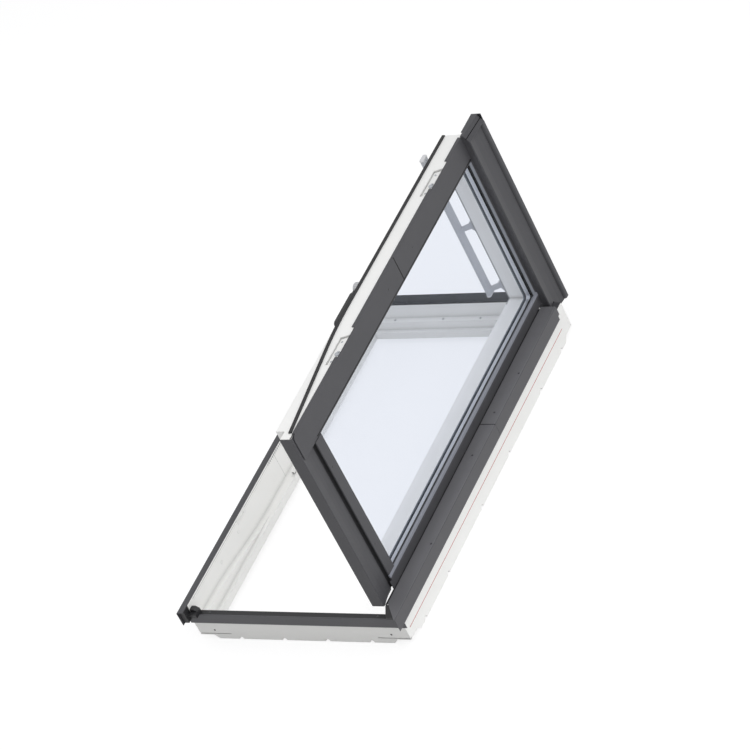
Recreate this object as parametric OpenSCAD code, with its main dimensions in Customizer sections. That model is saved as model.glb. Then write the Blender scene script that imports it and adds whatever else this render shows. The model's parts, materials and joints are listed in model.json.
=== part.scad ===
// Side-hung roof skylight with its frame, shown with the sash open at a right angle.
// X runs across the slope with the hinge side at +X, Y up the slope, Z outward from the roof.
// The origin is the centre of the frame's underside. Sash pieces are drawn shut, then swung open.

/* [Frame] */
// Outer width of the frame, across the slope
frame_w = 660; // [600:10:800]
// Outer length of the frame, up the slope
frame_l = 1178; // [1000:10:1400]
// Width of the side jambs, from outer face to clear opening
jamb_w = 42; // [38:1:50]
// Width of the top and bottom rails, from outer face to clear opening
rail_w = 40; // [36:1:48]
// Height of the skirt below the frame corners
skirt_h = 14; // [10:1:18]
// Thickness of the skirt
skirt_t = 12; // [8:1:16]
// Distance of the skirt's ends from the frame corners
skirt_end = 42; // [30:1:60]
// Radius of the round notches in the skirt
notch_r = 7; // [5:0.5:9]
// Height of the ledge that runs round the inside of the frame
ledge_z = 37; // [30:1:42]
// Thickness of the left wall above the ledge
left_wall = 11; // [10:0.5:13]
// Thickness of the bottom wall above the ledge
bottom_wall = 17; // [14:0.5:19]
// Thickness of the upstand along the top rail
top_wall = 8; // [6:0.5:9]
// Top of the left cladding
left_top = 127; // [122:1:128]
// Top of the right cladding
right_top = 121; // [114:1:121]
// Top of the bottom cladding
bottom_top = 91; // [80:1:92]
// Top of the white upstand along the top rail
upstand_top = 112; // [100:1:116]
// Height of the second ledge, in the top rail
top_ledge_z = 64; // [55:1:66]
// Depth in the slope direction of the second ledge, in the top rail
top_ledge_w = 19; // [14:1:22]

/* [Claddings] */
// Thickness of the sheet
clad_t = 1.5; // [1:0.1:1.6]
// Distance that the side claddings stand out from the frame's sides
clad_out = 10; // [6:1:14]
// Length of the side claddings below the frame's lower end
clad_foot = 30; // [20:1:40]
// Lower edge of the side claddings
clad_low = 80; // [70:1:86]
// Lower edge of the bottom cladding
bottom_low = 60; // [52:1:70]
// Lower edge of the top cladding
top_low = 72; // [60:1:80]
// Top of the raised middle of the top cladding
top_clad_top = 142; // [130:1:144]
// Place along the slope where the right cladding and the stile cladding are divided
clad_split = 90; // [40:5:140]
// Width of the joint between two lengths of cladding
clad_joint = 1; // [0.5:0.1:2]

/* [Sash] */
// Outer face of the shut sash
sash_top = 134; // [132:1:138]
// Underside of the sash's outer part
sash_step_z = 70; // [69:1:76]
// Inner face of the sash
sash_low = 52; // [51:1:60]
// Distance that the inner part is set in from the outer part
sash_step = 20; // [14:1:24]
// Clearance to the left wall
left_gap = 7; // [7:0.5:9]
// Clearance to the right jamb
right_gap = 4; // [4:0.5:6]
// Clearance to the bottom wall
bottom_gap = 2; // [2:0.5:5]
// Clearance to the top upstand
top_gap = 3; // [2:0.5:6]
// Width of the free stile
stile_w = 68; // [60:1:76]
// Width of the hinge stile
hinge_stile_w = 36; // [34:1:44]
// Width of the bottom rail of the sash
sash_bottom_w = 94; // [88:1:104]
// Width of the top rail of the sash
sash_top_w = 33; // [31:1:40]
// Distance of the bottom cladding's fold outside the sash moulding
fold_out = 3; // [2.5:0.5:4]
// Height of the bottom cladding's front flange
fold_h = 38; // [30:1:40]
// Depth of the step in the sash's lower end, behind the bottom cladding's flange
sill_step = 28; // [24:1:32]

/* [Glass] */
// Thickness of each pane
pane_t = 4; // [3:0.5:6]
// Gap between the panes
pane_gap = 16; // [12:1:18]
// Depth of the outer pane below the sash's outer face
pane_drop = 7; // [6.5:0.5:9]
// Bite of the panes into the rebate
pane_bite = 12; // [10:0.5:13]
// Clearance round the panes
pane_clear = 2; // [1:0.5:2.5]
// Thickness of the gasket under the inner pane
bed_t = 3; // [2:0.5:4]
// Width of the spacer bar
spacer_w = 7; // [5:0.5:8]
// Depth of the sealant outside the spacer bar
seal_w = 3.5; // [2:0.5:4]

/* [Hood] */
// Distance that the hood's front stands behind the glass opening
hood_front = 18; // [17:1:22]
// Length of the hood, up the slope
hood_l = 92; // [80:1:110]
// Height of the hood's front lip above the sash
hood_lip = 21; // [16:1:26]
// Height of the hood's ridge above the sash
hood_ridge = 27; // [24:1:32]
// Depth of the hood's back edge below the sash face
hood_back = 6; // [3:1:8]
// Distance of the hood's upper part from the frame's upper end
hood_clear = 4; // [3.5:0.5:8]

/* [Hinges] */
// Distance of the hinge axis below the sash face
axis_drop = 9; // [9:0.5:10]
// Distance of the hinge axis inside the sash edge
axis_inset = 2; // [2:0.5:3]
// Length of a hinge
hinge_l = 90; // [70:5:120]
// Distance of the hinges' middles from the frame's ends
hinge_end = 199; // [170:1:260]
// Outer radius of the knuckles
knuckle_r = 5; // [4.5:0.1:5.2]
// Radius of the hinge pins
pin_r = 2.5; // [2:0.1:3]
// Running clearance of the hinge pins
pin_clear = 0.05; // [0.03:0.01:0.08]
// Depth of the hinge leaves
leaf_h = 34; // [26:1:40]
// Thickness of the hinge leaves
leaf_t = 1.6; // [1.2:0.1:1.8]

/* [Locks and handle] */
// Distance of the upper lock from the frame's upper end
lock_end_upper = 201; // [180:1:240]
// Distance of the lower lock from the frame's lower end
lock_end_lower = 341; // [300:1:380]
// Length of a lock pocket
pocket_l = 112; // [96:2:120]
// Height of a lock pocket
pocket_h = 27; // [24:1:29]
// Depth of a lock pocket
pocket_d = 6; // [5:0.5:8]
// Thickness of a lock plate
lock_plate_t = 1.6; // [1:0.1:2]
// Radius of the lock hooks
hook_r = 7; // [6:0.5:8]
// Place of the handle along the slope
handle_y = 30; // [-60:5:80]
// Radius of the handle base
handle_r = 16; // [14:0.5:16.5]
// Height of the handle base
handle_h = 12; // [10:1:14]
// Length of the handle lever from the spindle
lever_l = 142; // [110:2:170]
// Width of the handle lever
lever_w = 18; // [14:1:22]
// Thickness of the handle lever
lever_t = 9; // [7:0.5:10]

/* [Control bar] */
// Depth of the control bar's pivot below the sash's inner face
bar_pivot_drop = 5; // [4.5:0.5:5.5]
// Distance of the bar's middle below its pivot
bar_drop = 29; // [27:1:29]
// Distance of the bar's middle down the slope from its pivot
bar_back = 25; // [24:1:32]
// Height of the bar, along the slope
bar_h = 28; // [20:1:30]
// Thickness of the bar
bar_t = 12; // [9:0.5:12]
// Distance of the bar's ends from the frame's clear opening
bar_end = 10; // [8:1:30]

/* [Hidden] */
$fn = 48;
eps = 0.01;
open_angle = 90;

cladding_grey = "#5e5e61";
frame_white = "#f3f3f0";
seal_black = "#1d1d1f";
hardware_grey = "#c4c7cb";
steel = "#aeb2b8";
pane_tint = [0.80, 0.88, 0.92, 0.35];

hw = frame_w / 2;
hl = frame_l / 2;
open_x = hw - jamb_w;
open_y = hl - rail_w;
left_face = -hw + left_wall;
bottom_face = -hl + bottom_wall;
top_face = hl - top_wall;
top_ledge_y = top_face - top_ledge_w;
clad_x = hw + clad_out;
left_body_top = left_top - clad_t;
right_body_top = right_top - clad_t;
bottom_body_top = bottom_top - clad_t;
end_notch_y = hl - 44;
end_notch_z = right_body_top - 22.5;
kerf_z = skirt_h + 3;
kerf_h = 3;
kerf_d = 5;
kerf_l = 100;
front_notches = [for (f = [-0.62, -0.206, 0.206, 0.62]) f * hw];
right_inner = open_x + 6;
foot_notch = 30;
side_notches = [for (f = [-0.85, -0.58, -0.17, 0.17, 0.58, 0.85]) f * hl];

sash_x0 = left_face + left_gap;
sash_x1 = open_x - right_gap;
sash_y0 = bottom_face + bottom_gap;
sash_y1 = top_face - top_gap;
body_top = sash_top - clad_t;
axis_x = sash_x1 - axis_inset;
axis_z = sash_top - axis_drop;
day_x0 = sash_x0 + stile_w;
day_x1 = sash_x1 - hinge_stile_w;
day_y0 = sash_y0 + sash_bottom_w;
day_y1 = sash_y1 - sash_top_w;
pane_z1 = sash_top - pane_drop;
pane_z0 = pane_z1 - 2 * pane_t - pane_gap;
rebate_z = pane_z0 - bed_t;
sight = 8;
gasket_lip = 2;
ring_round = 12;
bead_w = 37;
groove_w = 7;
bead_y1 = day_y0 + sight;
bead_y0 = bead_y1 - bead_w;
groove_y0 = bead_y0 - groove_w;
hinge_bead_x0 = day_x1 - sight + 2;
trough_z = sash_top - 8;
trough_body = trough_z - clad_t;
fold_y = sash_y0 - fold_out;
clad_x0 = sash_x0 - 3;
clad_x1 = sash_x1 + 2;
hood_y0 = day_y1 + hood_front;
hood_y1 = hood_y0 + hood_l;
hood_z1 = sash_top + hood_lip;
ridge_z = sash_top + hood_ridge;
hood_x0 = clad_x0 + 19;
hood_x1 = clad_x1 + 20;
hood_x2 = clad_x - 2;
hood_step_y = hl + hood_clear;
inner_y1 = sash_y1 - sash_step;
bar_y = inner_y1 - 8;
bar_z = sash_low - bar_pivot_drop;
bar_mid = (day_x0 + day_x1) / 2 - 20;
handle_x = sash_x0 + sash_step + 24;
spindle_r = 4;
plug_end = 191;
plug_step = 112;
lock_y_upper = hl - lock_end_upper;
lock_y_lower = lock_end_lower - hl;
lock_places = [lock_y_upper, lock_y_lower];
hinge_places = [-hl + hinge_end, hl - hinge_end];
gasket_w = 8;
gasket_out = left_gap / 2;
gasket_bend = -0.28 * hl;
gasket_y0 = sash_y0 + 20;

// A box given by its two opposite corners
module box(a, b) {
  translate(a) cube(b - a);
}

// A bar with the given YZ outline, running from x0 to x1
module along_x(x0, x1) {
  translate([x0, 0, 0]) rotate([90, 0, 90]) linear_extrude(x1 - x0) children();
}

// A bar with the given XZ outline, running from y0 to y1
module along_y(y0, y1) {
  translate([0, y1, 0]) rotate([90, 0, 0]) linear_extrude(y1 - y0) children();
}

// The open sash, swung about the hinge axis
module swung() {
  translate([axis_x, 0, axis_z]) rotate([0, open_angle, 0]) translate([-axis_x, 0, -axis_z]) children();
}

// The glass opening's outline, enlarged by a margin, with corners of radius r
function round_opening(margin, r) = [
  for (c = [[day_x1 + margin - r, day_y1 + margin - r, 0], [day_x0 - margin + r, day_y1 + margin - r, 90],
    [day_x0 - margin + r, day_y0 - margin + r, 180], [day_x1 + margin - r, day_y0 - margin + r, 270]])
  for (a = [0:15:90]) [c[0] + r * cos(c[2] + a), c[1] + r * sin(c[2] + a)]];

// A ring between z0 and z1 that lies from inner to outer outside the glass opening
module glass_ring(inner, outer, z0, z1, rounded = true) {
  difference() {
    box([day_x0 - outer, day_y0 - outer, z0], [day_x1 + outer, day_y1 + outer, z1]);
    if (rounded) {
      translate([0, 0, z0 - 1]) linear_extrude(z1 - z0 + 2) polygon(round_opening(inner, ring_round));
    } else {
      box([day_x0 - inner, day_y0 - inner, z0 - 1], [day_x1 + inner, day_y1 + inner, z1 + 1]);
    }
  }
}

// A sheet of the cladding's thickness under a line of points, closed by the same line lowered
module sheet(line) {
  polygon(concat(line, [for (i = [len(line) - 1:-1:0]) [line[i][0], line[i][1] - clad_t]]));
}

// A dome-headed screw that stands on a face, with its head up
module screw_head(r = 4, h = 1.4) {
  rotate_extrude() polygon([[0, 0], [r, 0], [r * 0.85, h * 0.7], [r * 0.45, h], [0, h]]);
}

// Frame

module skirt_side(run, notches) {
  difference() {
    along_y(0, skirt_t) polygon([[-run, skirt_h + eps], [skirt_h - run, 0], [run - skirt_h, 0],
      [run, skirt_h + eps]]);
    for (n = notches) translate([n, -1, 1]) rotate([-90, 0, 0]) cylinder(r = notch_r, h = skirt_t + 2);
  }
}

module sealing_rib() {
  rib_top = sash_step_z - 5;
  rise_l = 360;
  steps = 16;
  rise = [for (i = [0:steps]) [gasket_bend + 20 - rise_l * i / steps,
    ledge_z + (rib_top - ledge_z) * (1 - cos(180 * i / steps)) / 2]];
  along_x(left_face - eps, left_face + 19) polygon(concat(rise, [[bottom_face, rib_top],
    [bottom_face, ledge_z - 1], [gasket_bend + 20, ledge_z - 1]]));
}

module frame_moulding() color(frame_white) {
  difference() {
    union() {
      box([-hw, -hl, skirt_h], [hw, hl, ledge_z]);
      box([-hw, -hl, ledge_z - eps], [left_face, hl, left_body_top]);
      box([open_x, -hl, ledge_z - eps], [hw, end_notch_y, right_body_top]);
      box([open_x, end_notch_y - eps, ledge_z - eps], [hw, hl, end_notch_z]);
      box([-hw, -hl, ledge_z - eps], [hw, bottom_face, bottom_body_top]);
      box([-hw, top_ledge_y, ledge_z - eps], [hw, hl, top_ledge_z]);
      box([-hw, top_face, top_ledge_z - eps], [open_x + eps, hl, upstand_top]);
      sealing_rib();
    }
    box([-open_x, -open_y, 0], [open_x, open_y, ledge_z + 1]);
    box([open_x - 1, -hl - 1, bottom_body_top], [open_x + foot_notch, bottom_face + 6, right_body_top + 1]);
    for (x = [-hw - 1, hw - kerf_l], y = [-hl - 1, hl - kerf_d])
      box([x, y, kerf_z], [x + kerf_l + 1, y + kerf_d + 1, kerf_z + kerf_h]);
  }
  for (turn = [0, 180]) rotate(turn) translate([0, -hl, 0]) skirt_side(hw - skirt_end, front_notches);
  for (turn = [90, 270]) rotate(turn) translate([0, -hw, 0]) skirt_side(hl - skirt_end, side_notches);
}

module frame_bottom_cladding() color(cladding_grey) {
  run = clad_x - clad_t - 0.5;
  front = -hl - clad_t;
  along_x(-run, run) polygon([[front, bottom_low], [front, bottom_top - 1], [front + 1, bottom_top],
    [-hl, bottom_top], [-hl, bottom_low]]);
  box([left_face, -hl - eps, bottom_body_top], [open_x + foot_notch, bottom_face, bottom_top]);
}

module side_profile(inner, top) {
  polygon([[clad_x, clad_low], [clad_x, top - 2], [clad_x - 2, top], [inner, top], [inner, top - clad_t],
    [clad_x - clad_t - 1, top - clad_t], [clad_x - clad_t, top - clad_t - 1], [clad_x - clad_t, clad_low]]);
}

module frame_left_cladding() color(cladding_grey) mirror([1, 0, 0])
  along_y(-hl - clad_foot, hl) side_profile(-left_face + 0.5, left_top);

module right_plate(y0, y1) {
  along_y(y0, y1) side_profile(right_inner, right_top);
}

module frame_right_cladding_lower() color(cladding_grey) difference() {
  right_plate(-hl - clad_foot, clad_split - clad_joint / 2);
  translate([0, 0, right_top - clad_t - 2]) linear_extrude(clad_t + 4) polygon([
    [right_inner - 1, bottom_face + 11], [right_inner, bottom_face + 10], [clad_x - 3, -hl - clad_foot],
    [clad_x - 3, -hl - clad_foot - 5], [right_inner - 1, -hl - clad_foot - 5]]);
}

module frame_right_cladding_upper() color(cladding_grey)
  right_plate(clad_split + clad_joint / 2, end_notch_y - 5);

module right_end_cap() color(cladding_grey) difference() {
  along_y(end_notch_y - 5, end_notch_y + 3) polygon([[clad_x, clad_low + 12], [clad_x, right_top - 2],
    [clad_x - 2, right_top], [right_inner, right_top], [right_inner, end_notch_z], [clad_x - 8, end_notch_z],
    [clad_x - 8, clad_low + 12]]);
  box([open_x, end_notch_y - 6, 0], [hw, end_notch_y, right_body_top]);
  box([open_x, end_notch_y - 6, 0], [hw, end_notch_y + 4, end_notch_z]);
}

module corner_cover() color(cladding_grey) {
  box([open_x + 1, end_notch_y + 3, end_notch_z + clad_t - eps],
    [open_x + 2.5, hood_y0 - 1, right_top - 0.6]);
  along_y(end_notch_y + 3, hl) polygon([[open_x + 1, end_notch_z], [hw - 1, end_notch_z],
    [hw - 2, end_notch_z + clad_t], [open_x + 1, end_notch_z + clad_t]]);
}

module frame_top_cladding() color(cladding_grey) {
  box([-hw + 1, hl, top_low], [hw - 1, hl + clad_t, end_notch_z]);
  box([left_face, hl, end_notch_z - eps], [axis_x - 6, hl + clad_t, upstand_top]);
  box([hood_x0 + 5, hl, upstand_top - eps], [axis_x - 6, hl + clad_t, top_clad_top]);
  box([hood_x0 + 5, top_face, upstand_top], [axis_x - 6, hl + eps, upstand_top + clad_t]);
}

module corner_block_left() color(seal_black) {
  front = -hl - clad_t;
  box([clad_t - clad_x, -hl - clad_foot + 6, clad_low + 4], [left_face - 2, front, left_body_top - 1.2]);
  box([clad_t - clad_x, -hl - clad_foot + 16, bottom_top], [left_face + 22, front, bottom_top + 12]);
  along_y(front - eps, fold_y - 2.5) polygon([[left_face, bottom_top], [left_face, bottom_top + 20],
    [left_face + 12, bottom_top + 20], [left_face + 22, bottom_top + 12], [left_face + 22, bottom_top]]);
}

module corner_block_right() color(seal_black) {
  back = bottom_face + 6;
  front = -hl - clad_t;
  along_x(open_x + 1, open_x + foot_notch) polygon([[front, bottom_top], [front, bottom_top + 6],
    [back - 3, right_body_top - 0.5], [back, right_body_top - 0.5], [back, bottom_top]]);
}

module hinge_side_strip() color(seal_black)
  box([open_x + 0.2, bottom_face + 6, right_body_top], [right_inner, end_notch_y - 5, right_body_top + 0.8]);

// Hinges, with the frame's knuckles at both ends of each and the sash's between them
knuckle_gap = 0.5;
knuckle_l = hinge_l / 3;

module knuckle(y0, y1, bore) {
  translate([axis_x, y0, axis_z]) rotate([-90, 0, 0]) difference() {
    cylinder(r = knuckle_r, h = y1 - y0);
    translate([0, 0, -1]) cylinder(r = bore, h = y1 - y0 + 2);
  }
}

module hinge_frame_leaves() color(steel) for (place = hinge_places, s = [-1, 1]) {
  y0 = place + (s > 0 ? hinge_l / 2 - knuckle_l : -hinge_l / 2);
  knuckle(y0, y0 + knuckle_l, pin_r);
  difference() {
    union() {
      box([open_x - leaf_t, y0, right_body_top - leaf_h], [open_x, y0 + knuckle_l, right_body_top]);
      box([axis_x + pin_r + 0.5, y0, right_body_top - 3], [open_x, y0 + knuckle_l, axis_z]);
    }
    translate([axis_x, y0 - 1, axis_z]) rotate([-90, 0, 0]) cylinder(r = knuckle_r - 1, h = knuckle_l + 2);
  }
}

module hinge_pins() color(steel) for (place = hinge_places)
  translate([axis_x, place - hinge_l / 2, axis_z]) rotate([-90, 0, 0]) cylinder(r = pin_r, h = hinge_l);

module hinge_sash_leaves() color(steel) swung() for (place = hinge_places) {
  y0 = place - hinge_l / 2 + knuckle_l + knuckle_gap;
  y1 = place + hinge_l / 2 - knuckle_l - knuckle_gap;
  knuckle(y0, y1, pin_r + pin_clear);
  difference() {
    box([sash_x1 - leaf_t, y0, right_body_top - leaf_h], [sash_x1, y1, axis_z - 1]);
    translate([axis_x, y0 - 1, axis_z]) rotate([-90, 0, 0]) cylinder(r = knuckle_r - 1, h = y1 - y0 + 2);
  }
}

module wall_plugs() color(frame_white) for (y = [plug_end - hl, plug_end + plug_step - hl])
  translate([left_face, y, left_top - 35]) rotate([0, 90, 0]) screw_head(6, 1);

keeper_l = 52;
keeper_h = 18;
keeper_t = 1;
keeper_slot_l = 32;
keeper_slot_h = 6;

module keeper_plates() color(frame_white) for (y = lock_places) translate([left_face, y, body_top - pocket_h])
  difference() {
    box([0, -keeper_l / 2, 0], [keeper_t, keeper_l / 2, keeper_h]);
    box([-1, -keeper_slot_l / 2, (keeper_h - keeper_slot_h) / 2],
      [keeper_t + 1, keeper_slot_l / 2, (keeper_h + keeper_slot_h) / 2]);
  }

module striker_hook() color(frame_white) {
  x = -open_x - 10;
  y = -10;
  box([x, y - 14, ledge_z], [-open_x - 1, y + 14, ledge_z + 1.6]);
  along_y(y - 5, y + 5) polygon([[x, ledge_z], [x + 1.6, ledge_z], [x + 1.6, ledge_z + 9],
    [x + 7, ledge_z + 9], [x + 7, ledge_z + 6], [x + 8.6, ledge_z + 6], [x + 8.6, ledge_z + 10.6],
    [x, ledge_z + 10.6]]);
}

screw_end_lower = 239;
screw_end_upper = 304;
screw_below_split = 117;
screw_above_split = 45;
screw_inset = 11;
sill_screw_left = 62;
sill_screw_right = 72;
sill_screw_back = 8;
front_screw_end = 53;
front_screw_z = skirt_h + 18;

module frame_screws() color(steel) {
  for (p = [[hw + 2, screw_end_lower - hl], [hw - screw_inset, clad_split - screw_below_split],
    [hw - screw_inset, clad_split + screw_above_split], [hw + 2, hl - screw_end_upper]])
    translate([p[0], p[1], right_top]) screw_head(3.2, 1.2);
  for (x = [sill_screw_left - hw, hw - sill_screw_right])
    translate([x, bottom_face - sill_screw_back, bottom_top]) screw_head(3, 1.2);
  for (x = [front_screw_end - hw, hw - front_screw_end])
    translate([x, -hl, front_screw_z]) rotate([90, 0, 0]) screw_head(3, 0.8);
}

module ledge_screws() color(steel) for (f = [-0.65, -0.17, 0.2, 0.58])
  translate([f * hw, top_face - 9, top_ledge_z]) screw_head(3.5, 1.2);

// Sash

module lock_pocket(y) {
  half = pocket_l / 2;
  z0 = body_top - pocket_h;
  along_x(sash_x0 - 1, sash_x0 + pocket_d) polygon([[y - half, z0], [y + half - 12, z0],
    [y + half, body_top + 1], [y - half, body_top + 1]]);
}

module hinge_mortise(place) {
  y0 = place - hinge_l / 2 - 0.5;
  translate([axis_x, y0, axis_z]) rotate([-90, 0, 0]) cylinder(r = knuckle_r + 1.6, h = hinge_l + 1);
  box([sash_x1 - leaf_t, y0, right_body_top - leaf_h - 0.5], [sash_x1 + 1, y0 + hinge_l + 1, axis_z]);
}

module sash_moulding() color(frame_white) swung() difference() {
  union() {
    box([sash_x0, sash_y0, sash_top - fold_h], [sash_x1, sash_y1, body_top]);
    box([sash_x0, sash_y0 + sill_step, sash_step_z], [sash_x1, sash_y1, sash_top - fold_h + eps]);
    box([sash_x0 + sash_step, sash_y0 + sill_step + sash_step, sash_low],
      [sash_x1 - sash_step, inner_y1, sash_step_z + eps]);
  }
  box([day_x0, day_y0, sash_low - 1], [day_x1, day_y1, body_top + 1]);
  box([day_x0 - pane_bite - pane_clear, day_y0 - pane_bite - pane_clear, rebate_z],
    [day_x1 + pane_bite + pane_clear, day_y1 + pane_bite + pane_clear, body_top + 1]);
  box([sash_x0 - 1, sash_y0 - 1, trough_body - 2], [sash_x1 + 1, bead_y0 + 4, body_top + 1]);
  for (y = lock_places) lock_pocket(y);
  for (place = hinge_places) hinge_mortise(place);
}

module pane(z0) color(pane_tint) swung()
  box([day_x0 - pane_bite, day_y0 - pane_bite, z0], [day_x1 + pane_bite, day_y1 + pane_bite, z0 + pane_t]);

module outer_pane() pane(pane_z1 - pane_t);

module inner_pane() pane(pane_z0);

butyl_t = 1.6;
cavity_z0 = pane_z0 + pane_t;
cavity_z1 = cavity_z0 + pane_gap;
spacer_in = pane_bite - seal_w - spacer_w;

module spacer_bar() color(hardware_grey) swung()
  glass_ring(spacer_in, pane_bite - seal_w, cavity_z0 + butyl_t, cavity_z1 - butyl_t);

module edge_seal() color(seal_black) swung() {
  glass_ring(spacer_in, pane_bite, cavity_z0, cavity_z0 + butyl_t);
  glass_ring(pane_bite - seal_w, pane_bite, cavity_z0 + butyl_t, cavity_z1 - butyl_t, false);
  glass_ring(spacer_in, pane_bite, cavity_z1 - butyl_t, cavity_z1);
}

module inner_gasket() color(seal_black) swung() glass_ring(0.5, pane_bite, rebate_z, pane_z0);

module outer_gasket() color(seal_black) swung() difference() {
  box([day_x0 - pane_bite, day_y0 - pane_bite, pane_z1],
    [day_x1 + pane_bite, day_y1 + pane_bite, body_top - 1.4]);
  box([day_x0 + sight + gasket_lip, day_y0 + sight + gasket_lip, pane_z1 - 1],
    [day_x1 - sight + 2 - gasket_lip, day_y1 + 2 - gasket_lip, body_top]);
}

// Hood over the top rail, a folded sheet with a sloping left end
function hood_line() = [[hood_y0, hood_z1 - 2], [hood_y0 + 2, hood_z1], [hood_y0 + 16, hood_z1 - 2.6],
  [hood_y0 + 34, hood_z1 - 4.2], [hood_y0 + 52, hood_z1 - 3.2], [hood_y0 + 70, hood_z1 - 0.4],
  [hood_y0 + 72, hood_z1 - 1.4], [hood_y0 + 75, ridge_z - 2], [hood_y0 + 78, ridge_z], [hood_y1 - 4, ridge_z],
  [hood_y1, ridge_z - 4]];

function cut_line(line, y) = [for (p = line) if (p[0] < y) p];
function rest_line(line, y) = [for (p = line) if (p[0] > y) p];

// Height of the hood's concave face where the overhanging upper part starts
step_z = hood_z1 - 4.2;

// The groove in the hood's sloping left end
end_groove_x = clad_x0 + 7;
end_groove_w = 2;

module hood_end(x, w, front, back) {
  along_x(x, x + w) polygon([[hood_y0, body_top], [hood_y0, sash_top + front], [hood_y1 - 5, sash_top + back],
    [hood_y1, sash_top + back - 4], [hood_y1, body_top]]);
}

module hood_span(x0, x1, line) {
  along_x(x0, x1) sheet(line);
}

module sash_hood() color(cladding_grey) swung() {
  lower = concat(cut_line(hood_line(), hood_step_y - 3), [[hood_step_y - 2.5, step_z]]);
  upper = concat([[hood_step_y, step_z]], rest_line(hood_line(), hood_step_y + 0.5));
  front = concat(lower, upper);
  back = [hood_y1 - clad_t, sash_top - hood_back];
  hood_span(hood_x0, hood_x1, front);
  hood_span(hood_x1 - eps, hood_x2, upper);
  box([hood_x0, hood_y0, body_top], [hood_x1, hood_y0 + clad_t, hood_z1 - 2]);
  box([clad_x0 - 3, back[0], back[1]], [hood_x2, hood_y1, ridge_z - 4]);
  box([clad_x0 - 3, sash_y1 + 2, back[1]], [clad_x0 - 3 + clad_t, hood_y1, body_top + eps]);
  along_x(hood_x1 - clad_t, hood_x1)
    polygon(concat([[hood_step_y - 2.5, body_top], [hood_y0, body_top]], lower));
  box([hood_x1 - eps, hood_step_y, back[1]], [hood_x2, hood_step_y + clad_t, step_z]);
  along_x(hood_x2 - clad_t, hood_x2)
    polygon(concat([[hood_y1, back[1]], [hood_step_y, back[1]]], upper));
  hull() {
    along_x(hood_x0 - 0.5, hood_x0 + 1) polygon([[hood_y0, body_top], [hood_y0, hood_z1 - 2],
      [hood_y0 + 2, hood_z1], [hood_y0 + 75, ridge_z - 2], [hood_y1 - 4, ridge_z], [hood_y1, ridge_z - 4],
      [hood_y1, body_top]]);
    hood_end(end_groove_x + end_groove_w, 0.5, 14, 20);
  }
  hood_end(end_groove_x - 0.1, end_groove_w + 0.2, 9, 15);
  hull() {
    hood_end(end_groove_x - 0.5, 0.5, 13, 19);
    hood_end(clad_x0 - 3, 0.5, 8, 14);
  }
}

stile_inner = day_x0 + sight;
flange_h = 10;
end_round = 14;

// The outer lower corner of the stile cladding, from its side to its end
function round_end(y) = [for (a = [180:15:270])
  [clad_x0 + end_round + end_round * cos(a), y + end_round + end_round * sin(a)]];

module stile_cladding(y0, y1, rounded) {
  box([stile_inner - clad_t, max(y0, day_y0 - pane_bite), body_top - 1.4],
    [stile_inner, min(y1, day_y1 + pane_bite), body_top + eps]);
  difference() {
    union() {
      translate([0, 0, body_top]) linear_extrude(clad_t) polygon(concat(
        [[stile_inner, y0], [stile_inner, y1], [clad_x0, y1]],
        rounded ? round_end(y0) : [[clad_x0, y0]]));
      box([clad_x0, y0 + (rounded ? end_round : 0), sash_top - flange_h], [clad_x0 + clad_t, y1, sash_top]);
    }
    for (y = lock_places)
      box([clad_x0 - 1, y - 30, sash_top - flange_h - 1], [clad_x0 + clad_t + 0.5, y + 80, body_top]);
  }
}

module stile_cladding_upper() color(cladding_grey) swung()
  stile_cladding(clad_split + clad_joint / 2, hood_y0 - 0.3, false);

module stile_cladding_lower() color(cladding_grey) swung()
  stile_cladding(fold_y + 7, clad_split - clad_joint / 2, true);

module sash_bottom_cladding() color(cladding_grey) swung() {
  fold_z = sash_top - 2;
  line = [[fold_y + 1, fold_z - 0.4], [fold_y + 3, fold_z], [fold_y + 12, fold_z - 1.4],
    [fold_y + 26, trough_z + 2], [fold_y + 40, trough_z + 0.4], [groove_y0, trough_z]];
  along_x(clad_x0 + 2, clad_x1) {
    sheet(line);
    polygon([[fold_y, sash_top - fold_h], [fold_y, fold_z - 1.4], [fold_y + 1, fold_z - 0.4],
      [fold_y + clad_t + 1, fold_z - 2], [fold_y + clad_t, fold_z - 4],
      [fold_y + clad_t, sash_top - fold_h]]);
    polygon([[groove_y0 - clad_t, trough_z - 0.2], [groove_y0, trough_z - 0.2], [groove_y0, trough_body - 2],
      [groove_y0 - clad_t, trough_body - 2]]);
  }
}

module bottom_bead() color(cladding_grey) swung()
  along_x(stile_inner + 0.3, hinge_bead_x0 - 0.3) polygon([[bead_y0, body_top], [bead_y0, sash_top + 0.5],
    [bead_y0 + 1.5, sash_top + 2], [bead_y1 - 3, sash_top + 2], [bead_y1, sash_top - 1],
    [bead_y1, body_top - 1.4], [day_y0 - pane_bite + 0.5, body_top - 1.4],
    [day_y0 - pane_bite + 0.5, body_top]]);

module groove_seal() color(seal_black) swung()
  along_x(clad_x0 + 3, clad_x1 - 2) polygon([[groove_y0, trough_body - 2], [groove_y0, trough_body],
    [bead_y0 + 1, trough_body], [bead_y0 + 1, body_top], [bead_y0 + 4, body_top],
    [bead_y0 + 4, trough_body - 2]]);

module hinge_side_bead() color(cladding_grey) swung() {
  x0 = hinge_bead_x0;
  x1 = hinge_bead_x0 + 18;
  box([x0, day_y0 - pane_bite, body_top - 1.4], [x1 - 2, day_y1 + pane_bite, body_top + eps]);
  along_y(bead_y0, hood_y0 - 0.2) polygon([[x0, body_top], [x0, sash_top + 1.5], [x0 + 1.5, sash_top + 3],
    [x1 - 2, sash_top + 3], [x1, sash_top + 1], [x1, body_top]]);
  along_y(groove_y0, hood_y0 - 0.2) polygon([[x1 - eps, body_top], [x1 - eps, sash_top],
    [clad_x1 - 1, sash_top], [clad_x1, sash_top - 1], [clad_x1, body_top]]);
}

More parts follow.
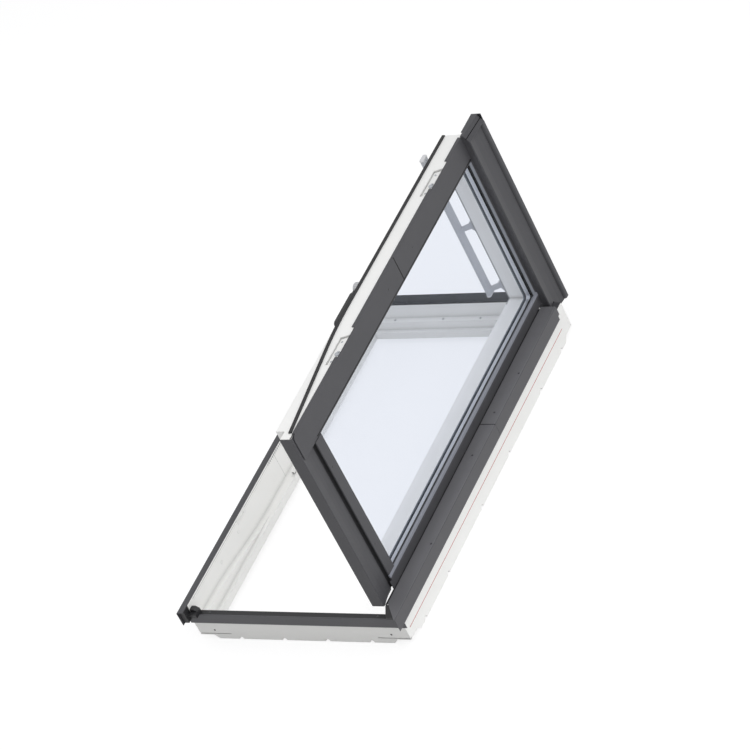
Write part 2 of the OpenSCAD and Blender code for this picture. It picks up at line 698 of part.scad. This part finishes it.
module top_bead() color(seal_black) swung()
  along_x(stile_inner + 0.3, hinge_bead_x0 - 0.3) polygon([[day_y1 + 2, body_top - 1.4],
    [day_y1 + 2, sash_top - 1], [day_y1 + 4, sash_top + 1], [hood_y0 - 0.2, sash_top + 1],
    [hood_y0 - 0.2, body_top], [day_y1 + pane_bite, body_top], [day_y1 + pane_bite, body_top - 1.4]]);

module gasket_lip_line(y1, z0, z1, width, out0, out1) {
  bend_l = 150;
  steps = 8;
  slope = (z1 - z0) / (gasket_bend - gasket_y0);
  low = [for (i = [0:steps]) [gasket_bend + bend_l / 2 - bend_l * i / steps,
    z0 + slope * bend_l / 2 * pow(i / steps, 2)]];
  foot = [gasket_y0, z1];
  line = concat([[y1, z0]], low, [foot]);
  along_x(sash_x0 - out1, sash_x0 - out0) polygon(concat(line,
    [for (i = [len(line) - 1:-1:0]) line[i] + [i == 0 ? 0 : 1.5, width]]));
}

module side_gasket() color(seal_black) swung() {
  z0 = sash_step_z + 0.5;
  gasket_lip_line(sash_y1 - 2, z0, body_top - 20, gasket_w, 0, gasket_out);
  gasket_lip_line(sash_y1 - 14, z0, body_top - 20, 2.5, gasket_out - eps, gasket_out + 0.4);
}

lock_plate_x = sash_x0 + pocket_d - lock_plate_t;

module lock_plates() color(frame_white) swung() for (y = lock_places) {
  half = pocket_l / 2;
  low = body_top - pocket_h + 2;
  along_x(lock_plate_x, lock_plate_x + lock_plate_t) polygon([[y - half + 2, low], [y + half - 14, low],
    [y + half - 4, body_top - 2], [y - half + 2, body_top - 2]]);
}

module lock_screws() color(steel) swung() for (y = lock_places, dy = [-40, 32])
  translate([lock_plate_x, y + dy, body_top - pocket_h + 9]) rotate([0, -90, 0]) screw_head(3.2, 1);

module lock_hook(y) color(steel) swung()
  translate([lock_plate_x - 0.3, y - 14, body_top - 11]) rotate([0, -90, 0])
    difference() {
      union() {
        cylinder(r = hook_r, h = 3);
        translate([-3, 0, 0]) cube([6, hook_r + 3, 3]);
      }
      translate([hook_r - 3, hook_r - 3, -1]) cylinder(r = 3, h = 5);
    }

module lock_hook_upper() lock_hook(lock_y_upper);

module lock_hook_lower() lock_hook(lock_y_lower);

stile_screw_in = 40;
stile_screw_below = 73;
stile_screw_above = 88;
bead_screw_left = 104;
bead_screw_right = 110;
bead_screw_up = 12;

module sash_screws() color(steel) swung() {
  for (y = [clad_split - stile_screw_below, clad_split + stile_screw_above])
    translate([sash_x0 + stile_screw_in, y, sash_top]) screw_head(2.8, 1);
  for (x = [day_x0 + bead_screw_left, day_x1 - bead_screw_right])
    translate([x, bead_y0 + bead_screw_up, sash_top + 2]) screw_head(2.8, 1);
}

// Handle on the inner face of the free stile
ribs = 18;
knob_gap = 0.4;
knob_h = 15;
knob_flat = 2.5;
knob_z = sash_low - handle_h - knob_gap;

module ribbed_round(z0, h, r) {
  translate([handle_x, handle_y, z0]) cylinder(r = r - 1, h = h);
  for (i = [0:ribs - 1]) translate([handle_x, handle_y, z0 + 1]) rotate(i * 360 / ribs)
    translate([r - 2, -0.9, 0]) cube([2, 1.8, h - 2]);
}

module handle_base() color(hardware_grey) swung() difference() {
  union() {
    ribbed_round(sash_low - handle_h, handle_h, handle_r);
    translate([handle_x, handle_y, sash_low - 3]) cylinder(r = handle_r + 0.5, h = 3);
  }
  translate([handle_x, handle_y, sash_low - handle_h - 1])
    cylinder(r = spindle_r + pin_clear, h = handle_h + 2);
}

module handle_knob() color(hardware_grey) swung() difference() {
  ribbed_round(knob_z - knob_h, knob_h, handle_r);
  translate([handle_x, handle_y, knob_z - knob_h + 3]) cylinder(r = spindle_r, h = knob_h);
  box([handle_x - handle_r, handle_y - handle_r - 1, knob_z - knob_h - 1],
    [handle_x + handle_r, lever_y, knob_z + 1]);
}

lever_y = handle_y - handle_r + knob_flat;
grip_l = 26;

module handle_lever() color(seal_black) swung() {
  z0 = knob_z - knob_h;
  half = lever_w / 2;
  translate([handle_x, 0, z0]) linear_extrude(lever_t) polygon(concat(
    [[half / 2, lever_y], [-half / 2, lever_y], [-half / 2, lever_y - 6], [-half, lever_y - 16]],
    [for (a = [180:15:360]) [half * cos(a), handle_y - lever_l + half * (1 + sin(a))]],
    [[half, lever_y - 16], [half / 2, lever_y - 6]]));
  for (i = [0:2]) box([handle_x - half + 3 + i * 4.5, lever_y - lever_l + 40 + grip_l, z0 - 0.8],
    [handle_x - half + 5.5 + i * 4.5, lever_y - grip_l, z0 + eps]);
}

module handle_spindle() color(steel) swung()
  translate([handle_x, handle_y, knob_z - knob_h + 3])
    cylinder(r = spindle_r, h = knob_h + knob_gap + handle_h - 5);

// Control bar under the top rail, turned on pins in its feet
arm_w = 16;
arm_end = 48;
ear_t = 4;
ear_gap = 0.3;
foot_r = 4.6;
bar_pin_r = 2;

bar_x1 = day_x1 - arm_end + arm_w / 2;
bar_arms = [day_x0 + 34, bar_mid, day_x1 - arm_end];
pin_cover = 0.5;
pin_l = arm_w + 2 * (ear_gap + ear_t - pin_cover);

// The concave foot that spreads from an ear along the rail
module foot_flare(l) {
  along_y(bar_y - foot_r, bar_y + foot_r) polygon([[-eps, sash_low], [-eps, bar_z - 3],
    [0.12 * l, bar_z + 0.5], [0.35 * l, sash_low - 2.4], [0.65 * l, sash_low - 1], [l, sash_low - 0.5],
    [l, sash_low]]);
}

module bar_feet() color(hardware_grey) swung() for (x = bar_arms, s = [-1, 1])
  translate([x + s * (arm_w / 2 + ear_gap), 0, 0]) mirror([s > 0 ? 0 : 1, 0, 0]) difference() {
    union() {
      along_x(0, ear_t) polygon([[bar_y - foot_r, bar_z], [bar_y - foot_r, sash_low],
        [bar_y + foot_r, sash_low], [bar_y + foot_r, bar_z], [bar_y + 2, bar_z - foot_r + 0.4],
        [bar_y - 2, bar_z - foot_r + 0.4]]);
      translate([ear_t, 0, 0]) foot_flare(s > 0 && x == bar_arms[2] ? 24 : 10);
    }
    translate([-1, bar_y, bar_z]) rotate([0, 90, 0]) cylinder(r = bar_pin_r, h = ear_t + 1 - pin_cover);
  }

module bar_pins() color(steel) swung() for (x = bar_arms)
  translate([x - pin_l / 2, bar_y, bar_z]) rotate([0, 90, 0]) cylinder(r = bar_pin_r, h = pin_l);

bar_x0 = -open_x + bar_end;
bar_mid_y = bar_y - bar_back;
bar_mid_z = bar_z - bar_drop;
arm_line = [[bar_y - foot_r + 1, bar_z + 2.5], [bar_y + 2, bar_z - 3], [bar_y - 4, bar_z - 11],
  [bar_mid_y + bar_h / 2 - 3, bar_mid_z + bar_t / 2 - 2], [bar_mid_y, bar_mid_z],
  [bar_mid_y - 6, bar_mid_z + bar_t / 2], [bar_mid_y + 10, bar_mid_z + bar_t / 2 + 4]];

// A flat bar's outline with its corners cut off, from half its height and half its thickness
module bar_outline(h, t, cut) {
  polygon([[cut - h, -t], [h - cut, -t], [h, cut - t], [h, t - cut], [h - cut, t], [cut - h, t],
    [-h, t - cut], [-h, cut - t]]);
}

module control_bar() color(hardware_grey) swung() difference() {
  union() {
    translate([0, bar_mid_y, bar_mid_z]) along_x(bar_x0, bar_x1) bar_outline(bar_h / 2, bar_t / 2, 3);
    for (x = bar_arms) {
      translate([x - arm_w / 2, bar_y, bar_z]) rotate([0, 90, 0]) cylinder(r = foot_r - 0.4, h = arm_w);
      along_x(x - arm_w / 2, x + arm_w / 2) polygon(arm_line);
    }
  }
  for (x = bar_arms) translate([x - arm_w, bar_y, bar_z]) rotate([0, 90, 0])
    cylinder(r = bar_pin_r + pin_clear, h = 2 * arm_w);
}

module bar_end_caps() color(hardware_grey) swung() for (s = [-1, 1])
  translate([s > 0 ? bar_x1 : bar_x0 - 4, bar_mid_y, bar_mid_z])
    along_x(0, 4) bar_outline(bar_h / 2 + 0.5, bar_t / 2 + 0.5, 2.5);

frame_moulding();
frame_bottom_cladding();
frame_left_cladding();
frame_right_cladding_lower();
frame_right_cladding_upper();
right_end_cap();
corner_cover();
frame_top_cladding();
corner_block_left();
corner_block_right();
hinge_side_strip();
hinge_frame_leaves();
hinge_pins();
wall_plugs();
keeper_plates();
striker_hook();
frame_screws();
ledge_screws();
sash_moulding();
outer_pane();
inner_pane();
spacer_bar();
edge_seal();
inner_gasket();
outer_gasket();
sash_hood();
stile_cladding_upper();
stile_cladding_lower();
sash_bottom_cladding();
groove_seal();
bottom_bead();
hinge_side_bead();
top_bead();
side_gasket();
lock_plates();
lock_screws();
hinge_sash_leaves();
sash_screws();
handle_base();
bar_feet();
bar_pins();
handle_lever();
handle_knob();
handle_spindle();
lock_hook_upper();
lock_hook_lower();
control_bar();
bar_end_caps();
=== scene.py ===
"""Looks of the side-hung roof skylight: its finishes, the studio and the camera."""

import json
from collections import namedtuple

import bpy
from mathutils import Matrix, Vector

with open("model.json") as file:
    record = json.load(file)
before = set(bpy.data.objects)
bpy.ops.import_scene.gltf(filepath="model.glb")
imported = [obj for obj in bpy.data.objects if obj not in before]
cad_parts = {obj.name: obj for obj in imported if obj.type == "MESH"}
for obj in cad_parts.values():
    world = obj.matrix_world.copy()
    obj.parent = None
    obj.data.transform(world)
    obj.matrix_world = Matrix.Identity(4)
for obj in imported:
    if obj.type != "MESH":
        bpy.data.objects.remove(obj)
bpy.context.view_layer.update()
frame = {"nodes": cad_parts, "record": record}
NODES = frame["nodes"]

M = 0.001  # one millimetre in scene units

# Sizes of what the finishes show, in millimetres.
CLOUD_MM = 60.0
CREASE_MM = 14.0
GLASS_WAVE_MM = 180.0
GLASS_RELIEF_MM = 0.4

# How the finishes answer to their noise: the grain's middle range, its share in the sheen and the relief, and
# how much of the sky a point loses before it gets the painted shade of the creases.
GRAIN_LOW, GRAIN_HIGH = 0.3, 0.7
SHEEN_SPREAD = 0.05
GRAIN_STRENGTH = 0.6
CREASE_DEEP, CREASE_OPEN = 0.35, 0.95
GLASS_IOR = 1.25
GLASS_SHEEN = 0.02
GLASS_WAVE_STRENGTH = 0.2

# Studio levels: the soft light from the lower and the upper end, and the floor where it is seen.
GLOW_LOWER_Y, GLOW_UPPER_Y = -0.8, 0.5
GLOW_LOWER, GLOW_UPPER = 0.37, 0.83
FLOOR_SIZE = 12
FLOOR_Z = -0.001
FLOOR_WHITE = 1.16
FLOOR_WHITE_SHARE = 0.65

# Camera: a long lens on a full-frame sensor, its axes and its place in metres.
SENSOR_MM = 36
LENS_MM = 180.39
CLIP_END = 60
CAMERA_RIGHT = (0.84152944, 0.3800609, -0.38380114)
CAMERA_UP = (0.01472024, 0.69410429, 0.71970149)
CAMERA_BACK = (0.53997907, -0.61135896, 0.5785146)
CAMERA_PLACE = (5.46388, -6.0434, 6.11275)

# A flat line on a surface: the box that holds it, in millimetres in the part's coordinates, its colour and
# strength, and the spacing along Y of its ticks, or 0 for a whole line.
Mark = namedtuple("Mark", "low high colour strength ticks_mm", defaults=(0,))


def linear(hex_colour):
    """An sRGB hex colour as linear RGBA."""
    parts = [int(hex_colour[i : i + 2], 16) / 255 for i in (1, 3, 5)]
    return [c / 12.92 if c <= 0.04045 else ((c + 0.055) / 1.055) ** 2.4 for c in parts] + [1.0]


def add(tree, kind, inputs=None, **settings):
    """Adds one shader node. Inputs are values, or (node, output) pairs that get linked."""
    n = tree.nodes.new(kind)
    for key, value in settings.items():
        setattr(n, key, value)
    for key, value in (inputs or {}).items():
        if isinstance(value, tuple):
            tree.links.new(value[0].outputs[value[1]], n.inputs[key])
        else:
            n.inputs[key].default_value = value
    return n


def empty_material(name):
    """A new material with an empty node tree."""
    m = bpy.data.materials.new(name)
    m.use_nodes = True
    m.node_tree.nodes.clear()
    return m, m.node_tree


def solid_finish(
    name,
    dark,
    light,
    rough,
    grain_mm,
    relief_mm,
    edge_mm,
    metallic=0.0,
    specular=0.5,
    painted_crease_shade=None,
    marks=(),
):
    """A solid finish: colour clouds, a fine grain in the relief, eased edges, painted shade in the creases, and
    marks.
    """
    m, tree = empty_material(name)
    place = add(tree, "ShaderNodeTexCoord")
    clouds = add(
        tree,
        "ShaderNodeTexNoise",
        {"Vector": (place, "Object"), "Scale": 1000 / CLOUD_MM, "Detail": 4.0},
    )
    grain = add(
        tree,
        "ShaderNodeTexNoise",
        {"Vector": (place, "Object"), "Scale": 1000 / grain_mm, "Detail": 3.0},
    )
    eased = add(tree, "ShaderNodeBevel", {"Radius": edge_mm * M}, samples=4)
    relief = add(
        tree,
        "ShaderNodeBump",
        {
            "Height": (grain, 0),
            "Distance": relief_mm * M,
            "Strength": GRAIN_STRENGTH,
            "Normal": (eased, 0),
        },
    )
    sheen = add(
        tree,
        "ShaderNodeMapRange",
        {
            "Value": (grain, 0),
            "From Min": GRAIN_LOW,
            "From Max": GRAIN_HIGH,
            "To Min": rough - SHEEN_SPREAD,
            "To Max": rough + SHEEN_SPREAD,
        },
    )
    colour = add(
        tree,
        "ShaderNodeMix",
        {"Factor": (clouds, 0), "A": linear(dark), "B": linear(light)},
        data_type="RGBA",
    )
    # Painted shade: the colour darkens where nearby faces hide the sky, as shade would fall in creases.
    if painted_crease_shade:
        depth = add(
            tree,
            "ShaderNodeAmbientOcclusion",
            {"Distance": CREASE_MM * M},
            samples=6,
            only_local=True,
        )
        open_face = add(
            tree,
            "ShaderNodeMapRange",
            {"Value": (depth, "AO"), "From Min": CREASE_DEEP, "From Max": CREASE_OPEN},
        )
        colour = add(
            tree,
            "ShaderNodeMix",
            {"Factor": (open_face, 0), "A": linear(painted_crease_shade), "B": (colour, 2)},
            data_type="RGBA",
        )
    axes = add(tree, "ShaderNodeSeparateXYZ", {0: (place, "Object")})
    for mark in marks:
        cover = None
        for i in range(3):
            middle = (mark.low[i] + mark.high[i]) / 2 * M
            half = (mark.high[i] - mark.low[i]) / 2 * M
            inside = add(
                tree, "ShaderNodeMath", {0: (axes, i), 1: middle, 2: half}, operation="COMPARE"
            )
            if cover:
                inside = add(
                    tree, "ShaderNodeMath", {0: (cover, 0), 1: (inside, 0)}, operation="MULTIPLY"
                )
            cover = inside
        if mark.ticks_mm:
            ticks = mark.ticks_mm * M
            wave = add(tree, "ShaderNodeMath", {0: (axes, 1), 1: ticks}, operation="PINGPONG")
            tick = add(tree, "ShaderNodeMath", {0: (wave, 0), 1: ticks / 2}, operation="GREATER_THAN")
            cover = add(tree, "ShaderNodeMath", {0: (cover, 0), 1: (tick, 0)}, operation="MULTIPLY")
        amount = add(tree, "ShaderNodeMath", {0: (cover, 0), 1: mark.strength}, operation="MULTIPLY")
        colour = add(
            tree,
            "ShaderNodeMix",
            {"Factor": (amount, 0), "A": (colour, 2), "B": linear(mark.colour)},
            data_type="RGBA",
        )
    shader = add(
        tree,
        "ShaderNodeBsdfPrincipled",
        {
            "Base Color": (colour, 2),
            "Roughness": (sheen, 0),
            "Metallic": metallic,
            "Specular IOR Level": specular,
            "Normal": (relief, 0),
        },
    )
    add(tree, "ShaderNodeOutputMaterial", {0: (shader, 0)})
    return m


def float_glass(name):
    """A glass face: tinted and see-through, with a mirror share outside that grows at grazing angles."""
    m, tree = empty_material(name)
    place = add(tree, "ShaderNodeTexCoord")
    waves = add(
        tree,
        "ShaderNodeTexNoise",
        {"Vector": (place, "Object"), "Scale": 1000 / GLASS_WAVE_MM, "Detail": 1.0},
    )
    relief = add(
        tree,
        "ShaderNodeBump",
        {"Height": (waves, 0), "Distance": GLASS_RELIEF_MM * M, "Strength": GLASS_WAVE_STRENGTH},
    )
    side = add(tree, "ShaderNodeNewGeometry")
    front = add(tree, "ShaderNodeMath", {0: 1.0, 1: (side, "Backfacing")}, operation="SUBTRACT")
    bounce = add(tree, "ShaderNodeFresnel", {"IOR": GLASS_IOR, "Normal": (relief, 0)})
    share = add(tree, "ShaderNodeMath", {0: (bounce, 0), 1: (front, 0)}, operation="MULTIPLY")
    through = add(tree, "ShaderNodeBsdfTransparent", {"Color": linear("#f9fafc")})
    mirror = add(
        tree,
        "ShaderNodeBsdfGlossy",
        {"Color": linear("#f4f7ff"), "Roughness": GLASS_SHEEN, "Normal": (relief, 0)},
    )
    mixed = add(tree, "ShaderNodeMixShader", {0: (share, 0), 1: (through, 0), 2: (mirror, 0)})
    add(tree, "ShaderNodeOutputMaterial", {0: (mixed, 0)})
    return m


# What the finishes of one kind share.
MOULDED = {"rough": 0.45, "grain_mm": 0.9, "relief_mm": 0.03, "edge_mm": 1.2}
SHEET = {"rough": 0.46, "grain_mm": 0.6, "relief_mm": 0.02, "edge_mm": 0.7, "specular": 0.25}
SASH_SHEET = {"dark": "#4a4a4d", "light": "#505053", **SHEET}
FRAME_SHEET = {**SHEET, "rough": 0.42}
RUBBER = {"grain_mm": 0.5, "relief_mm": 0.03, "edge_mm": 0.5}
FITTING = {"grain_mm": 0.8, "relief_mm": 0.02}
JOINT_BLACK = "#0d0d0e"

# Moulded polyurethane: an even satin white, with a soft grey painted shade in its creases.
white_moulding = solid_finish(
    "moulded satin white polyurethane", "#f1f1ef", "#f7f7f5", painted_crease_shade="#b9b9b7", **MOULDED
)
# The same on the frame, with the red guide line on the hinge side, painted shade greying the lower end, and
# the joint, seal line, brush seal and groove of the left wall.
frame_white = solid_finish(
    "moulded satin white polyurethane, frame",
    "#f7f7f4",
    "#fcfcfa",
    painted_crease_shade="#dcdcda",
    marks=(
        Mark((329, -571, 41.2), (331, 543, 43.4), "#bb4a3c", 0.95),
        # Painted shade: the face of the lower end greyer.
        Mark((-331, -590, 0), (331, -588.5, 60), "#d0d0cd", 0.45),
        Mark((-319.5, -20.6, 36), (-318.5, -19.4, 126), "#a9a9a6", 0.8),
        Mark((-319.5, -560, 119.5), (-318.5, 560, 121), "#8e8e8c", 0.7),
        Mark((-319.5, -60, 116.5), (-318.5, 560, 124), "#77777a", 0.6, ticks_mm=4),
        Mark((-319.5, -560, 113.5), (-318.5, 560, 114.2), "#bcbcb8", 0.6),
    ),
    **MOULDED,
)
# The same on the sash, with a painted shadow along the top rail's edge towards the room.
sash_white = solid_finish(
    "moulded satin white polyurethane, sash",
    "#f3f3f1",
    "#f9f9f7",
    painted_crease_shade="#b9b9b7",
    # Painted shadow: a dark strip along the top rail's edge.
    marks=(Mark((208, 520, 100), (213, 548, 730), "#6e7478", 0.75),),
    **MOULDED,
)
# Folded aluminium sheet with a baked lacquer: a flat dark grey with a low, even sheen and eased folds.
grey_lacquer = solid_finish("lacquered aluminium sheet", **SASH_SHEET)
# The same on the stile, with the black seal beside the glass and the joint between its two lengths.
stile_lacquer = solid_finish(
    "lacquered aluminium sheet, stile",
    marks=(
        Mark((289, -486, 645.5), (292, 560, 649.5), JOINT_BLACK, 0.95),
        Mark((289, 87.6, 600), (292, 91.6, 730), JOINT_BLACK, 0.9),
    ),
    **SASH_SHEET,
)
# The same on the hood, with shade in the fold under its ridge.
hood_lacquer = solid_finish("lacquered aluminium sheet, hood", painted_crease_shade="#121214", **SASH_SHEET)
# The same on the beads along the hinge side and the top, each with its pale lip beside the glass.
bead_lacquer = solid_finish(
    "lacquered aluminium sheet, beads",
    marks=(
        Mark((280, -560, 155.5), (297, 560, 168), "#9396a0", 0.9),
        Mark((280, 540, 168), (297, 555, 660), "#8e929b", 0.9),
    ),
    **SASH_SHEET,
)
# The same on the frame's right side, with painted light and shade: paler on top and darker on the outer face; with
# the joint between its two lengths.
frame_lacquer_lit_and_shaded = solid_finish(
    "lacquered aluminium sheet, frame side",
    # Painted light: the top paler than the same lacquer on the sash.
    "#6c6c6f",
    "#727275",
    marks=(
        # Painted shade: the outer face darker.
        Mark((338.5, -620, 50), (341, 660, 122), "#555558", 1.0),
        Mark((280, 88.2, 119), (340, 91, 122), JOINT_BLACK, 0.9),
    ),
    **{**FRAME_SHEET, "specular": 0.3},
)
# The same on the frame's lower end, with painted shade darkening the ledge under the shut sash.
sill_lacquer = solid_finish(
    "lacquered aluminium sheet, frame end",
    "#555558",
    "#5b5b5e",
    # Painted shade: the ledge darker.
    marks=(Mark((-330, -587.5, 90.5), (330, -560, 91.5), "#262628", 0.95),),
    **FRAME_SHEET,
)
# The back of the lacquered sheet at the frame's upper end, in a dull, nearly black painted shade.
top_cladding_painted_shade = solid_finish(
    "lacquered aluminium sheet, frame top, in dull painted shade", "#0f161c", "#151c22", **{**SHEET, "rough": 0.5, "specular": 0.2}
)
# Lacquered screw heads: darker than the sheet, because their rims and recesses hold shade.
screw_lacquer = solid_finish(
    "lacquered screw head", "#38383a", "#404042", rough=0.4, grain_mm=0.6, relief_mm=0.02, edge_mm=0.3
)
# Extruded rubber: matte black with a fine grain.
black_rubber = solid_finish("extruded black rubber", "#1a1a1c", "#242426", rough=0.62, **RUBBER)
# The same rubber in slate grey, on the room side of the panes.
slate_rubber = solid_finish("extruded slate grey rubber", "#5c656e", "#646d76", rough=0.6, **RUBBER)
# Moulded plastic: black with a soft sheen on its edges.
black_plastic = solid_finish(
    "moulded black plastic", "#1c1c1e", "#29292b", rough=0.5, grain_mm=0.7, relief_mm=0.03, edge_mm=0.8
)
# Zinc-plated steel: a cool, slightly clouded metal.
zinc_steel = solid_finish(
    "zinc-plated steel", "#a5a8ad", "#babdc2", rough=0.32, edge_mm=0.4, metallic=0.9, **FITTING
)
# Painted aluminium bar: a light satin grey.
grey_fitting = solid_finish(
    "satin painted aluminium fitting", "#b3b6bc", "#bfc2c7", rough=0.4, edge_mm=1.0, **FITTING
)
# Moulded plastic of the handle and the bar's ends: paler than the bar, with a soft painted shade in the creases
# between its ribs.
pale_plastic = solid_finish(
    "moulded pale grey plastic", "#d6d7d9", "#dedfe1", rough=0.42, edge_mm=0.6, painted_crease_shade="#8c8e91", **FITTING
)
# Rolled aluminium of the spacer bar: bright, with a fine grain.
spacer_metal = solid_finish(
    "mill-finish aluminium",
    "#b6bac2",
    "#cdd1d8",
    rough=0.35,
    grain_mm=0.4,
    relief_mm=0.02,
    edge_mm=0.2,
    metallic=0.4,
)
# Float glass: clear, with a faint cool tint and slow waves in its reflections.
pane_glass = float_glass("clear float glass")

SLOT_FINISH = {
    "white_moulding": white_moulding,
    "grey_cladding": grey_lacquer,
    "black_rubber": black_rubber,
    "black_plastic": black_plastic,
    "zinc_steel": zinc_steel,
    "light_grey_fitting": grey_fitting,
    "spacer_aluminium": spacer_metal,
    "pane_glass": pane_glass,
}
PIECE_FINISH = {
    "frame_moulding": frame_white,
    "sash_moulding": sash_white,
    "stile_cladding_upper": stile_lacquer,
    "stile_cladding_lower": stile_lacquer,
    "sash_hood": hood_lacquer,
    "hinge_side_bead": bead_lacquer,
    "top_bead": bead_lacquer,
    "frame_right_cladding_lower": frame_lacquer_lit_and_shaded,
    "frame_right_cladding_upper": frame_lacquer_lit_and_shaded,
    "right_end_cap": frame_lacquer_lit_and_shaded,
    "frame_bottom_cladding": sill_lacquer,
    "frame_top_cladding": top_cladding_painted_shade,
    "frame_screws": screw_lacquer,
    "sash_screws": screw_lacquer,
    "inner_gasket": slate_rubber,
    "handle_base": pale_plastic,
    "handle_knob": pale_plastic,
    "bar_end_caps": pale_plastic,
}
for piece in frame["record"]["subparts"]:
    slots = NODES[piece["node"]].data.materials
    slots.clear()
    slots.append(PIECE_FINISH.get(piece["node"], SLOT_FINISH[piece["material_slot"]]))
# The panes let the soft light through to the reveals and the frame behind them.
for name in ("outer_pane", "inner_pane"):
    NODES[name].visible_shadow = False
    NODES[name].visible_diffuse = False


def seen_directly(tree):
    """1 for the rays that show the backdrop: straight to the camera, in a reflection or through glass."""
    ray = add(tree, "ShaderNodeLightPath")
    mirrored = add(
        tree,
        "ShaderNodeMath",
        {0: (ray, "Is Camera Ray"), 1: (ray, "Is Glossy Ray")},
        operation="MAXIMUM",
    )
    return add(
        tree,
        "ShaderNodeMath",
        {0: (mirrored, 0), 1: (ray, "Is Transmission Ray")},
        operation="MAXIMUM",
    )


def studio():
    """A white floor and backdrop, soft light that is dimmer from the lower end, and three large softboxes."""
    scene = bpy.context.scene
    scene.view_settings.view_transform = "Standard"
    world = bpy.data.worlds.new("studio")
    scene.world = world
    world.use_nodes = True
    tree = world.node_tree
    tree.nodes.clear()
    way = add(tree, "ShaderNodeTexCoord")
    axes = add(tree, "ShaderNodeSeparateXYZ", {0: (way, "Generated")})
    dimmer = add(
        tree,
        "ShaderNodeMapRange",
        {
            "Value": (axes, "Y"),
            "From Min": GLOW_LOWER_Y,
            "From Max": GLOW_UPPER_Y,
            "To Min": GLOW_LOWER,
            "To Max": GLOW_UPPER,
        },
    )
    glow = add(tree, "ShaderNodeBackground", {"Color": linear("#f8f8fa"), "Strength": (dimmer, 0)})
    white = add(tree, "ShaderNodeBackground", {"Color": linear("#ffffff"), "Strength": 1.0})
    mixed = add(tree, "ShaderNodeMixShader", {0: (seen_directly(tree), 0), 1: (glow, 0), 2: (white, 0)})
    add(tree, "ShaderNodeOutputWorld", {0: (mixed, 0)})

    bpy.ops.mesh.primitive_plane_add(size=FLOOR_SIZE, location=(0, 0, FLOOR_Z))
    floor = bpy.context.object
    floor.name = "floor"
    m, tree = empty_material("matte white floor")
    matte = add(tree, "ShaderNodeBsdfDiffuse", {"Color": linear("#fbfbfb")})
    white = add(tree, "ShaderNodeEmission", {"Color": linear("#ffffff"), "Strength": FLOOR_WHITE})
    pale = add(tree, "ShaderNodeMixShader", {0: FLOOR_WHITE_SHARE, 1: (matte, 0), 2: (white, 0)})
    shown = add(tree, "ShaderNodeMixShader", {0: (seen_directly(tree), 0), 1: (matte, 0), 2: (pale, 0)})
    add(tree, "ShaderNodeOutputMaterial", {0: (shown, 0)})
    floor.data.materials.append(m)

    # Each softbox: its place and the point it faces in metres, its side in metres and its power in watts.
    for name, place, aim, size, power in (
        ("overhead softbox", (1.4, -0.7, 3.0), (0, 0, 0), 3.0, 30),
        ("hinge side softbox", (3.4, -1.2, 1.6), (0, -0.2, 0.2), 2.4, 15),
        ("free side softbox", (-3.0, 0.2, 1.4), (0.28, 0, 0.1), 2.4, 18),
    ):
        lamp = bpy.data.lights.new(name, "AREA")
        lamp.size = size
        lamp.energy = power
        o = bpy.data.objects.new(name, lamp)
        scene.collection.objects.link(o)
        turn = (Vector(aim) - Vector(place)).to_track_quat("-Z", "Y")
        o.matrix_world = Matrix.Translation(place) @ turn.to_matrix().to_4x4()


def photo_camera():
    """A long-lens view from high on the lower right of the window."""
    camera = bpy.data.cameras.new("camera")
    camera.sensor_width = SENSOR_MM
    camera.lens = LENS_MM
    camera.clip_end = CLIP_END
    o = bpy.data.objects.new("camera", camera)
    bpy.context.scene.collection.objects.link(o)
    columns = (CAMERA_RIGHT, CAMERA_UP, CAMERA_BACK, CAMERA_PLACE)
    o.matrix_world = Matrix([[c[i] for c in columns] for i in range(3)] + [[0, 0, 0, 1]])
    bpy.context.scene.camera = o


studio()
photo_camera()
